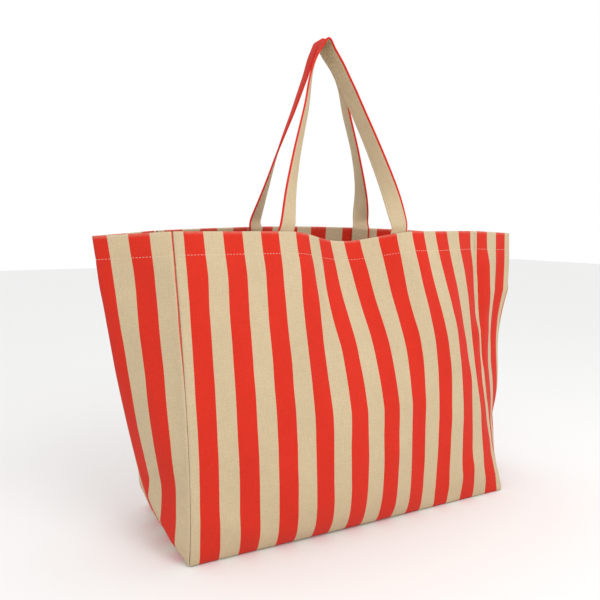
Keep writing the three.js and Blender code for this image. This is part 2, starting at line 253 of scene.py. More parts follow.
def back_wall(u, t):
    a = u / BASE_W
    point = lerp(back_corner(1, t), back_corner(-1, t), np.expand_dims(a, -1))
    middle = np.maximum(0, np.sin(math.pi * a))
    point[..., 1] += BACK_BULGE * (1 - (1 - t) ** 3) * middle ** (1 + 3 * t)
    point[..., 2] += (BACK_H - (BACK_LEFT_H + BACK_RIGHT_H) / 2) * middle * t
    return point


def rounded(v):
    return np.sqrt(v * v + RIDGE_ROUND**2)


def ridge_shape(s, t):
    """How far an end panel stands out, from 0 to 1, at s from -1 to 1 across it."""
    flat = np.clip(1 - t * FRONT_H / TRIANGLE_H, 0, 0.999)
    fold = (rounded(1) - rounded(np.maximum(np.abs(s), flat))) / (rounded(1) - rounded(flat))
    return np.clip(fold, 0, 1)


def end_wall(start, stop, side, ridge, droop, u, t):
    out = ridge_shape(2 * u / BASE_D - 1, t)
    point = lerp(start, stop, np.expand_dims(u / BASE_D, -1))
    point[..., 0] += side * ridge * out
    point[..., 2] -= droop * out * t
    return point


def left_wall(u, t):
    return end_wall(back_corner(-1, t), front_wall(0.0, t), -1, left_ridge(t), LEFT_DROOP, u, t)


def right_wall(u, t):
    return end_wall(front_wall(float(BASE_W), t), back_corner(1, t), 1, right_ridge(t), RIGHT_DROOP, u, t)


# ---------- Wrinkles, as distances out along the normal ----------


def bump(x):
    """1 at 0, falling smoothly to 0 at -1 and 1."""
    return np.cos(np.clip(x, -1, 1) * math.pi / 2) ** 2


def crease(u, h, start, stop, width, depth):
    """A soft fold from start to stop, points of (distance along, height), out by depth at its middle."""
    (u0, h0), (u1, h1) = start, stop
    length2 = (u1 - u0) ** 2 + (h1 - h0) ** 2
    share = ((u - u0) * (u1 - u0) + (h - h0) * (h1 - h0)) / length2
    near = np.clip(share, 0, 1)
    off = np.hypot(u - u0 - near * (u1 - u0), h - h0 - near * (h1 - h0))
    return depth * np.exp(-((off / width) ** 2)) * np.sin(math.pi * np.clip(share, 0.02, 0.98)) ** 0.6


def puckers(u, h, side_u, seed):
    """Short level gathers beside an upright seam."""
    off = np.abs(u - side_u)
    return 0.9 * np.exp(-((off / 9) ** 2)) * noise(off / 30, h / 9, seed)


def squeeze(u, h, side_u, seed):
    """The slack of a closing end gathers in folds beside its front seam."""
    off = np.abs(u - side_u)
    return 3.2 * np.exp(-((off / 26) ** 2)) * noise(off / 17, h / 34, seed) * bump((h - 215) / 210)


def soft_waves(u, h, seed):
    broad = 2.4 * noise(u / 95, h / 130, seed)
    upright = 1.7 * noise(u / 36, h / 120, seed + 1)
    small = 0.5 * noise(u / 17, h / 26, seed + 2)
    return broad + upright + small


def front_wrinkles(u, h):
    folds = crease(u, h, (338, 385), (322, 190), 13, -3.2)
    folds += crease(u, h, (362, 372), (352, 210), 12, 2.4)
    folds += crease(u, h, (168, 392), (196, 235), 12, 2.6)
    folds += crease(u, h, (192, 380), (214, 250), 11, -2.6)
    folds += crease(u, h, (262, 388), (255, 250), 16, 1.8)
    folds += crease(u, h, (440, 330), (478, 120), 12, -3.0)
    folds += crease(u, h, (468, 230), (420, 130), 14, 1.6)
    folds += crease(u, h, (20, 60), (120, 18), 14, 1.6)
    folds += crease(u, h, (480, 70), (380, 22), 13, 1.8)
    folds += squeeze(u, h, BASE_W, 9)
    return folds + puckers(u, h, 0, 11) + puckers(u, h, BASE_W, 12) + soft_waves(u, h, 20)


def back_wrinkles(u, h):
    folds = crease(u, h, (162, 385), (180, 190), 14, 2.6)
    folds += crease(u, h, (352, 385), (330, 200), 14, -2.6)
    folds += crease(u, h, (250, 330), (262, 90), 20, 2.2)
    folds += crease(u, h, (40, 70), (150, 20), 15, 2.0)
    folds += crease(u, h, (455, 80), (350, 25), 15, 2.0)
    return folds + puckers(u, h, 0, 13) + puckers(u, h, BASE_W, 14) + soft_waves(u, h, 40)


def left_end_wrinkles(u, h):
    half = np.abs(u - BASE_D / 2)
    folds = 5.5 * bump((half - 52) / 50) * bump((h - 160) / 120)
    folds -= 6.0 * bump((half - 50) / 45) * smoothstep((h - 270) / 110)
    folds += crease(u, h, (140, 330), (172, 120), 12, 1.8)
    folds += crease(u, h, (60, 300), (35, 120), 12, 1.8)
    return folds + puckers(u, h, 0, 15) + puckers(u, h, BASE_D, 16) + 0.7 * soft_waves(u, h, 60)


def right_end_wrinkles(u, h):
    folds = 6 * bump((u - 30) / 34) * smoothstep((h - 180) / 120)
    folds += crease(u, h, (56, 360), (62, 90), 11, -3.4)
    folds += crease(u, h, (150, 330), (165, 130), 12, -2.2)
    folds += squeeze(u, h, 0, 10)
    return folds + puckers(u, h, 0, 17) + puckers(u, h, BASE_D, 18) + 0.8 * soft_waves(u, h, 80)


def wrinkle_share(u, t, width):
    """Wrinkles die away at the seams, at the base and in the stiff double hem."""
    side = smoothstep(np.minimum(u, width - u) / 14) * 0.75 + 0.25
    return side * smoothstep(t / 0.07) * (1 - 0.8 * smoothstep((t - 0.86) / 0.1))


# ---------- Panels ----------


class Panel:
    """One wall of the bag: its shape, its wrinkles and where its stripes lie."""

    def __init__(self, name, wall, width, wrinkles, stripe_at):
        self.name = name
        self.wall = wall
        self.width = width
        self.wrinkles = wrinkles
        self.stripe_at = stripe_at

    def smooth_point(self, u, t):
        return self.wall(np.asarray(u, float), np.asarray(t, float))

    def normal_and_rise(self, u, t):
        u, t = np.broadcast_arrays(np.asarray(u, float), np.asarray(t, float))
        along = self.smooth_point(u + 0.5, t) - self.smooth_point(u - 0.5, t)
        low, high = np.clip(t - 0.002, 0, 1), np.clip(t + 0.002, 0, 1)
        rise = self.smooth_point(u, high) - self.smooth_point(u, low)
        return unit(np.cross(along, rise)), unit(rise)

    def point(self, u, t, out=0.0, rise=0.0):
        """A point of the wrinkled wall, moved out along the normal and up along the cloth."""
        u, t = np.broadcast_arrays(np.asarray(u, float), np.asarray(t, float))
        normal, up = self.normal_and_rise(u, t)
        shift = self.wrinkles(u, t * FRONT_H) * wrinkle_share(u, t, self.width)
        moved = self.smooth_point(u, t) + normal * np.expand_dims(shift + out, -1)
        return moved + up * np.expand_dims(np.broadcast_to(rise, u.shape), -1)


def front_stripes(u, t):
    """The sagging mouth takes up cloth, so the stripes crowd towards it at the rim."""
    rim = smoothstep((t - 0.72) / 0.26) * (7.5 * smoothstep((u - 168) / 45) + 8 * bump((u - 405) / 72))
    shoulder = 3.6 * bump((t - 0.78) / 0.17) * smoothstep((u - 185) / 35) * (1 - smoothstep((u - 410) / 50))
    waist = -5.5 * smoothstep((u - 170) / 170) * bump((t - 0.5) / 0.32)
    left = 2 * (1 - smoothstep((u - 170) / 60)) * smoothstep(t / 0.2) * (1 - smoothstep((t - 0.7) / 0.2))
    low = 3.5 * bump((u - 195) / 55) * bump((t - 0.27) / 0.18)
    drift = rim + shoulder + waist + left + low
    return u + STRIPE / 2 + drift * smoothstep(u / 40) * smoothstep((BASE_W - u) / 40)


def back_stripes(u, t):
    return u + STRIPE / 2


def left_stripes(u, t):
    """The left end was cut off the grain: its stripes drift away from the front seam as they rise."""
    from_seam = BASE_D - u
    sliver = 0.18 - 0.35 * (1 - t) - 0.09 * smoothstep((t - 0.7) / 0.25)
    return from_seam + STRIPE * (2 - sliver)


def right_stripes(u, t):
    return u + STRIPE * (1 - 0.16)


FRONT = Panel("front_panel", front_wall, BASE_W, front_wrinkles, front_stripes)
BACK = Panel("back_panel", back_wall, BASE_W, back_wrinkles, back_stripes)
LEFT = Panel("left_end_panel", left_wall, BASE_D, left_end_wrinkles, left_stripes)
RIGHT = Panel("right_end_panel", right_wall, BASE_D, right_end_wrinkles, right_stripes)
PANELS = (FRONT, BACK, LEFT, RIGHT)
# Each panel's neighbours at its u = 0 and u = width edges, with the neighbour's own edge there.
NEIGHBOURS = {
    FRONT.name: ((LEFT, BASE_D), (RIGHT, 0)),
    BACK.name: ((RIGHT, BASE_D), (LEFT, 0)),
    LEFT.name: ((BACK, BASE_W), (FRONT, 0)),
    RIGHT.name: ((FRONT, BASE_W), (BACK, 0)),
}


def level(v):
    return unit(v * np.array([1.0, 1.0, 0.0]))


def corner_inward(panel, u, other, other_u, t):
    """The level direction into the bag, halfway between the two panels sewn at a corner."""
    beside = 6
    own = panel.normal_and_rise(np.clip(u, beside, panel.width - beside), t)[0]
    next_one = other.normal_and_rise(np.clip(other_u, beside, other.width - beside), t)[0]
    return -unit(level(own) + level(next_one))


# ---------- Mesh making ----------


def make_object(name, points, faces, uvs=None, marks=None):
    """A smooth object from frame points in metres; uvs are per point, marks are named per-point numbers."""
    mesh = bpy.data.meshes.new(name)
    mesh.from_pydata([tuple(p) for p in points], [], [tuple(int(i) for i in f) for f in faces])
    mesh.update()
    if uvs is not None:
        loops = np.zeros(len(mesh.loops), np.int32)
        mesh.loops.foreach_get("vertex_index", loops)
        layer = mesh.uv_layers.new(name="cloth")
        layer.data.foreach_set("uv", np.asarray(uvs, np.float32)[loops].ravel())
    for key, values in (marks or {}).items():
        attribute = mesh.attributes.new(key, "FLOAT", "POINT")
        attribute.data.foreach_set("value", np.asarray(values, np.float32))
    mesh.shade_smooth()
    made = bpy.data.objects.new(name, mesh)
    bpy.context.scene.collection.objects.link(made)
    return made


def give(piece, *materials):
    for material in materials:
        piece.data.materials.append(material)


def grid_quads(rows, columns, start=0, flip=False):
    j, i = np.meshgrid(np.arange(rows - 1), np.arange(columns - 1), indexing="ij")
    a = start + j * columns + i
    quads = np.stack([a, a + 1, a + 1 + columns, a + columns], -1).reshape(-1, 4)
    return quads[:, ::-1] if flip else quads


def grid_normals(points):
    along = np.gradient(points, axis=1)
    rise = np.gradient(points, axis=0)
    return unit(np.cross(along, rise))


def thick_sheet(points, thickness):
    """A closed sheet round a grid of middle points: vertices and faces, outer face first."""
    rows, columns = points.shape[:2]
    normal = grid_normals(points)
    outer = (points + normal * thickness / 2).reshape(-1, 3)
    inner = (points - normal * thickness / 2).reshape(-1, 3)
    count = rows * columns
    faces = [grid_quads(rows, columns), grid_quads(rows, columns, count, flip=True)]
    index = np.arange(count).reshape(rows, columns)
    rim = np.concatenate([index[0, :], index[1:, -1], index[-1, -2::-1], index[-2:0:-1, 0]])
    after = np.roll(rim, -1)
    faces.append(np.stack([after, rim, rim + count, after + count], -1))
    return np.concatenate([outer, inner]), np.concatenate(faces)


def tube_faces(count, n):
    """The faces of a tube of count rings with n points each, closed at both ends."""
    index = np.arange(count * n).reshape(count, n)
    low, high = index[:-1], index[1:]
    quads = np.stack([low, high, np.roll(high, -1, 1), np.roll(low, -1, 1)], -1).reshape(-1, 4)
    return quads.tolist() + [index[0].tolist(), index[-1, ::-1].tolist()]


def travelled(points):
    """The distance along a path to each of its points."""
    return np.concatenate([[0], np.cumsum(np.linalg.norm(np.diff(points, axis=0), axis=1))])


def spaced(start, stop, step):
    return np.linspace(start, stop, max(2, int(round((stop - start) / step)) + 1))


def edge_refined(width, step):
    """Columns that are close together in the rolled edges and even between them."""
    close = np.array([EDGE_TRIM, 1.2, 2.0, 3.0, 4.2, 6.0])
    return np.concatenate([close, spaced(8.5, width - 8.5, step), width - close[::-1]])


# ---------- Panel cloth, with its turned hem ----------

FOLD_STEPS = 7
HEM_SEED = 100


def panel_rows():
    """The way up the outside, over the rim and down the hem: (t, out, rise, hem) for each row."""
    rise = np.concatenate([[0.0, 0.004, 0.009], spaced(0.016, 0.985, 0.0095), [0.992, 0.997]])
    rows = [(t, 0.0, 0.0, 0.0) for t in rise]
    for k in range(FOLD_STEPS + 1):
        turn = math.pi * k / FOLD_STEPS
        out = -FOLD_RADIUS * (1 - math.cos(turn))
        rows.append((1.0, out, FOLD_RADIUS * math.sin(turn), k / FOLD_STEPS))
    for drop in (1.5, 3, 5, 8, 11, 14, 17, 20, 23, 25.5, 27, 28.5, HEM):
        rows.append((1 - drop / FRONT_H, -2 * FOLD_RADIUS, 0.0, 1.0))
    return np.array(rows)


def hem_pinch(u, t, hem):
    """The stitching draws the two layers of the hem together and gathers them a little."""
    drop = (1 - t) * FRONT_H
    near = np.exp(-(((drop - STITCH_DROP) / 2.2) ** 2))
    gather = 0.25 * noise(u / 7, drop / 20, HEM_SEED) * np.exp(-(((drop - STITCH_DROP) / 9) ** 2))
    return near * np.where(hem > 0.5, 0.38, -0.42) + gather


def roll_edges(panel, u, t):
    """How far each point of a panel moves as its edges roll in at the corner seams and at the base."""
    shift = 0
    for edge, (other, other_u) in zip((0, panel.width), NEIGHBOURS[panel.name]):
        inward = corner_inward(panel, float(edge), other, float(other_u), t[:, :1])
        side = np.abs(edge - u)
        roll = SEAM_TUCK * np.clip(1 - side / SEAM_ROLL, 0, 1) ** 2
        shift = shift + inward * roll[..., None]
    inward = -level(panel.normal_and_rise(u, t)[0])
    base_roll = np.clip(1 - t * FRONT_H / SEAM_ROLL, 0, 1)[..., None] ** 2
    return shift + base_roll * (inward * BASE_TUCK - UP * BASE_SINK)


def add_panel(panel):
    rows = panel_rows()
    t, out, rise, hem = (rows[:, k][:, None] for k in range(4))
    middle = panel.width / 2
    u = middle + (edge_refined(panel.width, 3.6)[None, :] - middle) * (1 - hem * HEM_INSET / middle)
    t = t + 0 * u
    points = panel.point(u, t, out + hem_pinch(u, t, hem), rise) + roll_edges(panel, u, t)
    verts, faces = thick_sheet(points, CLOTH)
    length = t * FRONT_H + hem * 2 * HEM * (1 - t)
    uv = np.stack([panel.stripe_at(u, t), length], -1).reshape(-1, 2) * MM
    # Painted highlight: a pale band is painted along the rim fold and the corner seams.
    at_rim = np.exp(-(((1 - t) * FRONT_H / RIM_HIGHLIGHT) ** 2))
    at_seam = np.exp(-((np.minimum(u, panel.width - u) / SEAM_HIGHLIGHT) ** 2))
    worn = np.tile(np.clip(at_rim + at_seam, 0, 1).ravel(), 2)
    return make_object(panel.name + "_cloth", to_frame(verts), faces, np.tile(uv, (2, 1)), {"worn": worn})


def add_bottom():
    half_w, half_d = BASE_W / 2 - BASE_TRIM, BASE_D / 2 - BASE_TRIM
    x, y = np.meshgrid(spaced(-half_w, half_w, 6), spaced(-half_d, half_d, 6))
    edge = np.minimum(BASE_W / 2 - np.abs(x), BASE_D / 2 - np.abs(y))
    lift = 0.9 * np.clip(1 - (edge - BASE_TRIM) / 6, 0, 1) ** 2
    z = 0.55 + lift + 0.35 * smoothstep(edge / 20) * (1 + noise(x / 60, y / 45, 90))
    verts, faces = thick_sheet(xyz(x, y, z), CLOTH)
    uv = np.stack([x + BASE_W / 2 + STRIPE / 2, y + BASE_D], -1).reshape(-1, 2) * MM
    # The base gets no painted highlight band.
    worn = np.zeros(2 * x.size)
    return make_object("bottom_cloth", to_frame(verts), faces, np.tile(uv, (2, 1)), {"worn": worn})


# ---------- Stitches ----------


def add_stitches(name, lines, length, gap, width, height):
    """Separate stitches along lines, each a pair of arrays: points and outward normals, in millimetres."""
    profile = np.array([(-0.5, 0.0), (-0.3, 0.75), (0.3, 0.75), (0.5, 0.0), (0.0, -0.35)])
    # Each ring of a stitch: its share of the length, its size, and its rise in stitch heights.
    steps = ((0.0, 0.45, -0.5), (0.18, 0.95, 0.1), (0.5, 1.0, 0.22), (0.82, 0.95, 0.1), (1.0, 0.45, -0.5))
    share, size, rise = (np.array(values) for values in zip(*steps))
    size, rise = size[None, :, None], rise[None, :, None]
    verts, faces = [], []
    start = 0
    n = len(profile)
    for points, normals in lines:
        travel = travelled(points)
        first = np.arange(gap / 2, travel[-1] - length, length + gap)
        at = first[:, None] + length * share[None, :]
        where = np.stack([np.interp(at, travel, points[:, k]) for k in range(3)], -1)
        out = unit(np.stack([np.interp(at, travel, normals[:, k]) for k in range(3)], -1))
        along = unit(where[:, -1:] - where[:, :1]) + 0 * where
        across = unit(np.cross(along, out))
        sides = [where + across * (w * width * size) + out * height * (h * size + rise) for w, h in profile]
        ring = np.stack(sides, 2)
        count, rings = ring.shape[:2]
        verts.append(ring.reshape(-1, 3))
        index = start + np.arange(count * rings * n).reshape(count, rings, n)
        low, high = index[:, :-1], index[:, 1:]
        quads = np.stack([low, np.roll(low, -1, 2), np.roll(high, -1, 2), high], -1).reshape(-1, 4)
        faces += quads.tolist() + index[:, 0, ::-1].tolist() + index[:, -1].tolist()
        start += count * rings * n
    return make_object(name, to_frame(np.concatenate(verts)), faces)


def wall_line(panel, us, drop):
    """A line of stitching across a panel's hem, at a distance below the rim."""
    t = np.full_like(us, 1 - drop / FRONT_H)
    normal = panel.normal_and_rise(us, t)[0]
    return panel.point(us, t, CLOTH / 2 + hem_pinch(us, t, 0 * us)), normal


# ---------- Straps ----------

SEWN_STEPS = 12  # rings up each sewn end, from its bottom to the rim
SOFT_RINGS = 12  # rings above them that are smoothed where the strap bends
LOOP_STEPS = 210


def centripetal(points, per_segment):
    """A smooth curve through points, paced so that it does not overshoot where they are close together."""
    p = np.asarray(points, float)
    p = np.concatenate([[2 * p[0] - p[1]], p, [2 * p[-1] - p[-2]]])
    made = []
    for i in range(1, len(p) - 2):
        d0, d1, d2 = (max(np.linalg.norm(p[k + 1] - p[k]) ** 0.5, 1e-2) for k in (i - 1, i, i + 1))
        m1 = d1 * ((p[i] - p[i - 1]) / d0 - (p[i + 1] - p[i - 1]) / (d0 + d1) + (p[i + 1] - p[i]) / d1)
        m2 = d1 * ((p[i + 1] - p[i]) / d1 - (p[i + 2] - p[i]) / (d1 + d2) + (p[i + 2] - p[i + 1]) / d2)
        s = np.linspace(0, 1, per_segment, endpoint=False)[:, None]
        cubic = 2 * p[i] - 2 * p[i + 1] + m1 + m2
        square = -3 * p[i] + 3 * p[i + 1] - 2 * m1 - m2
        made.append(p[i] + m1 * s + square * s**2 + cubic * s**3)
    return np.concatenate(made + [p[-2:-1]])


def resample(points, count):
    travel = travelled(points)
    at = np.linspace(0, travel[-1], count)
    return np.stack([np.interp(at, travel, points[:, k]) for k in range(3)], -1)


def strap_section():
    """The strap's cross-section: (across, towards the red face), with a stitched channel near each edge."""
    half_w, half_t = STRAP_W / 2, STRAP_T / 2
    flat_end = half_w - half_t
    half = np.array([0, 2.5, 5.5, 8.2, 9.1, STRAP_SEAM, 10.1, 10.9, flat_end])
    ws = np.concatenate([-half[:0:-1], half])
    channel = 0.42 * np.exp(-(((np.abs(ws) - STRAP_SEAM) / 0.6) ** 2))
    crown = 0.12 * (1 - (ws / half_w) ** 2)
    face = [(w, half_t - c + k) for w, c, k in zip(ws, channel, crown)]
    turn = [math.radians(a) for a in (60, 30, 0, -30, -60)]
    right_edge = [(flat_end + half_t * math.cos(a), half_t * math.sin(a)) for a in turn]
    back = [(w, -f) for w, f in face[::-1]]
    left_edge = [(-w, f) for w, f in right_edge[::-1]]
    return np.array(face + right_edge + back + left_edge)


SECTION = strap_section()


class Handle:
    """One handle: a strap sewn inside the hem at both ends, looped up and twisted half a turn."""

    def __init__(self, name, panel, loop_body, sizes):
        self.name = name
        self.panel = panel
        self.loop_body = loop_body
        self.top = np.array(sizes["top"], float)
        self.legs = sizes["legs"]
        self.twists = sizes["twists"]
        hinges = [(u, self.wall_place(u, 1.0, HINGE_OUT) + UP * HINGE_RISE) for u in sizes["centres"]]
        hinges.sort(key=lambda item: item[1][0])
        self.centres = [centre for centre, _ in hinges]
        self.axis = unit(hinges[1][1] - hinges[0][1])
        self.ends = [point + self.axis * shift for (_, point), shift in zip(hinges, sizes["shifts"])]
        self.facing = -1 if panel is FRONT else 1  # +1 if the red face turns away from the bag

    def wall_place(self, u, t, out):
        return self.panel.smooth_point(u, t) + self.panel.normal_and_rise(u, t)[0] * out

    def loop_path(self):
        """The middle line of the free loop, from the left flex point over the top to the right one."""
        shoulders = [self.top + np.array([side * TIP_HALF, 0, -TIP_DROP]) for side in (-1, 1)]
        legs = []
        for end, shoulder, shares in zip(self.ends, shoulders, self.legs):
            leg = [end]
            for across, up in zip(shares, LEG_UP):
                point = lerp(end, self.top, up)
                point[0] = lerp(end[0], self.top[0], across)
                leg.append(point)
            legs.append(leg + [shoulder])
        return resample(centripetal(legs[0] + [self.top] + legs[1][::-1], 24), LOOP_STEPS)

    def across(self, path):
        """The strap's width direction: along the hinge line at the rim, and front to back at the top."""
        up = np.clip((path[:, 2] - self.ends[0][2]) / (self.top[2] - self.ends[0][2]), 0, 1)
        on_left = np.arange(len(path)) < len(path) / 2
        at_rim, settled, speed = (np.where(on_left, *pair) for pair in zip(*self.twists))
        angle = at_rim * (1 - up) ** 2 + settled * (1 - (1 - up) ** speed) + (90 - settled) * up**6
        angle = np.radians(angle)
        sign = np.where(on_left, 1, -1)
        return self.axis * (sign * np.cos(angle))[:, None] + ALONG_Y * np.sin(angle)[:, None]

    def loop_rings(self):
        path = self.loop_path()
        side = self.across(path)
        along = unit(np.gradient(path, axis=0))
        face = unit(np.cross(along, side))
        side = unit(np.cross(face, along))
        far = np.arange(len(path))
        slack = 0.35 * noise(far / 9, 0 * far, 7) * np.sin(np.pi * far / far[-1])
        path = path + face * slack[:, None]
        return path[:, None] + side[:, None] * SECTION[None, :, :1] + face[:, None] * SECTION[None, :, 1:]

    def sewn_rings(self, end):
        """The rings from the bottom of a sewn end up to the hinge line: end 0 is the left one."""
        layer = -2 * FOLD_RADIUS - CLOTH / 2 - 0.5 - STRAP_T / 2
        centre = self.centres[end]
        rightward = -self.facing
        leg = 1 if end == 0 else -1
        us = centre + SECTION[:, 0] * rightward * leg
        fs = SECTION[:, 1] * self.facing
        rings = []
        for drop in np.linspace(STRAP_SEWN, 0, SEWN_STEPS):
            t = np.full_like(us, 1 - drop / FRONT_H)
            rings.append(self.panel.point(us, t, layer + fs))
        rim = rings[-1]
        top = self.wall_place(centre, 1.0, SEWN_LAYER) + UP * SEWN_RISE
        outward = level(self.panel.normal_and_rise(centre, 1.0)[0])
        turned = math.radians(self.twists[end][0])
        wide = self.axis * leg * math.cos(turned) + ALONG_Y * math.sin(turned)
        thick = unit(np.cross(UP, wide))
        thick = thick * np.sign(thick @ outward)
        flat = wide * SECTION[:, :1] + thick * fs[:, None]
        for rise in (0.3, 0.65, 1.0):
            ring = lerp(rim, top + flat, rise**2)
            ring[:, 2] = lerp(rim[:, 2], (top + flat)[:, 2], rise)
            rings.append(ring)
        rings.append(lerp(top, self.ends[end], 0.55) + flat)
        return np.array(rings)

    def rings(self):
        """The whole strap, end to end, smoothed where it bends over the rim."""
        rings = np.concatenate([self.sewn_rings(0), self.loop_rings(), self.sewn_rings(1)[::-1]])
        from_end = np.minimum(np.arange(len(rings)), np.arange(len(rings))[::-1])
        bends = (from_end >= SEWN_STEPS) & (from_end < SEWN_STEPS + SOFT_RINGS)
        for _ in range(4):
            soft = rings.copy()
            soft[1:-1] = 0.25 * rings[:-2] + 0.5 * rings[1:-1] + 0.25 * rings[2:]
            rings = lerp(rings, soft, bends.astype(float)[:, None, None])
        return rings


def add_strap(handle, cream_cloth, red_cloth):
    rings = handle.rings()
    count, n = rings.shape[:2]
    across, along = np.broadcast_arrays(SECTION[None, :, 0] + STRAP_W, travelled(rings.mean(1))[:, None])
    uv = np.stack([across, along], -1).reshape(-1, 2) * MM
    w, f = SECTION[:, 0], SECTION[:, 1]
    mid_w, mid_f = (w + np.roll(w, -1)) / 2, (f + np.roll(f, -1)) / 2
    red = (mid_f > 0) | (mid_w < -STRAP_W / 2 + STRAP_EDGE)
    made = make_object(handle.name + "_strap", to_frame(rings.reshape(-1, 3)), tube_faces(count, n), uv)
    give(made, cream_cloth, red_cloth)
    slots = np.concatenate([np.tile(red.astype(int), count - 1), [0, 0]])
    made.data.polygons.foreach_set("material_index", slots.astype(np.int32))
    return made


def strap_stitch_lines(handle, towards_red):
    """The two rows of stitching on one face of a strap, in its channels."""
    rings = handle.rings()[SEWN_STEPS:-SEWN_STEPS]
    sign = 1 if towards_red else -1
    lines = []
    for w in (-STRAP_SEAM, STRAP_SEAM):
        k = int(np.argmin(np.hypot(SECTION[:, 0] - w, SECTION[:, 1] - sign * STRAP_T / 2)))
        opposite = int(np.argmin(np.hypot(SECTION[:, 0] - w, SECTION[:, 1] + sign * STRAP_T / 2)))
        lines.append((rings[:, k], unit(rings[:, k] - rings[:, opposite])))
    return lines


# ---------- Bound seams inside ----------


def tape_section():
    """A tape folded over the allowances: (in from the seam, across), with a stitched channel."""
    half = FIN_T / 2
    inward = np.array([0, 1.2, 2.6, FIN_SEAM, 4.2, 6.0, FIN_DEPTH])
    groove = 0.3 * np.exp(-(((inward - FIN_SEAM) / 0.7) ** 2))
    side = [(x, half - g) for x, g in zip(inward, groove)]
    turn = [math.radians(a) for a in (60, 30, 0, -30, -60)]
    tip = [(FIN_DEPTH + half * math.cos(a), half * math.sin(a)) for a in turn]
    return np.array(side + tip + [(x, -y) for x, y in side[::-1]])


TAPE = tape_section()


def add_tape(name, seam, inward, seed):
    """A bound allowance along a seam: points in millimetres and the direction it stands in."""
    along = unit(np.gradient(seam, axis=0))
    across = unit(np.cross(along, inward))
    far = travelled(seam)
    lean = 0.9 * noise(far / 45, 0 * far, seed)
    x, y = TAPE[:, 0] + FIN_START, TAPE[:, 1]
    curl = (x - FIN_START) ** 2 / (FIN_END - FIN_START) ** 2
    rings = seam[:, None] + inward[:, None] * x[None, :, None]
    rings = rings + across[:, None] * (y[None, :] + lean[:, None] * curl[None, :])[..., None]
    uv = np.stack(np.broadcast_arrays(x[None, :], far[:, None]), -1).reshape(-1, 2) * MM
    return make_object(name, to_frame(rings.reshape(-1, 3)), tube_faces(*rings.shape[:2]), uv)


def add_corner_tape(name, panel, u, other, other_u, seed):
    t = np.linspace(0.05, 0.9, 70)
    inward = corner_inward(panel, float(u), other, float(other_u), t)
    seam = panel.smooth_point(np.full_like(t, u), t)
    return add_tape(name, seam, inward, seed)


def add_base_tape(name, seam_middle, along, length, seed):
    """A bound allowance along an edge of the base; seam_middle is the middle of that edge."""
    reach = length / 2 - BASE_FIN_SHORT
    far = spaced(-reach, reach, 6)
    lean = unit(-unit(seam_middle) + UP * BASE_FIN_SLOPE)
    seam = seam_middle + UP * (CLOTH + 0.6) + along * far[:, None]
    return add_tape(name, seam, np.broadcast_to(lean, seam.shape), seed)


# ---------- Materials ----------

RED = (0.60, 0.026, 0.012)
CREAM = (0.545, 0.43, 0.27)
TAPE_CREAM = (0.58, 0.465, 0.305)
THREAD = (0.74, 0.59, 0.45)
RED_THREAD = (0.62, 0.045, 0.03)
# Pale colour of the painted highlight along the rim fold and the corner seams.
PAINTED_HIGHLIGHT_COLOUR = (0.70, 0.58, 0.43)
YARN = 0.00075  # metres between yarns


class Nodes:
    """A short way to write a material's node tree."""

    def __init__(self, name):
        self.material = bpy.data.materials.new(name)
        self.material.use_nodes = True
        self.tree = self.material.node_tree
        self.shader = self.tree.nodes["Principled BSDF"]

    def add(self, kind, **settings):
        node = self.tree.nodes.new(kind)
        for key, value in settings.items():
            setattr(node, key, value)
        return node

    def join(self, source, target):
        self.tree.links.new(source, target)

    def math(self, operation, a, b=0.0):
        node = self.add("ShaderNodeMath", operation=operation)
        for socket, value in zip(node.inputs, (a, b)):
            if isinstance(value, (int, float)):
                socket.default_value = value
            else:
                self.join(value, socket)
        return node.outputs[0]

    def noise(self, vector, scale, detail=2.0, stretch=(1, 1, 1)):
        mapping = self.add("ShaderNodeMapping")
        mapping.inputs["Scale"].default_value = stretch
        self.join(vector, mapping.inputs["Vector"])
        node = self.add("ShaderNodeTexNoise")
        node.inputs["Scale"].default_value = scale
        node.inputs["Detail"].default_value = detail
        self.join(mapping.outputs[0], node.inputs["Vector"])
        return node.outputs["Fac"]

    def mix(self, share, a, b, blend="MIX"):
        node = self.add("ShaderNodeMix", data_type="RGBA", blend_type=blend)
        sockets = [s for s in node.inputs if s.enabled]
        for socket, value in zip(sockets, (share, a, b)):
            if isinstance(value, (int, float)):
                socket.default_value = value
            elif isinstance(value, tuple):
                socket.default_value = (*value, 1.0)
            else:
                self.join(value, socket)
        return [o for o in node.outputs if o.enabled][0]

    def spread(self, value, low, high):
        """Maps 0..1 to low..high."""
        node = self.add("ShaderNodeMapRange")
        node.inputs["To Min"].default_value = low
        node.inputs["To Max"].default_value = high
        self.join(value, node.inputs["Value"])
        return node.outputs[0]


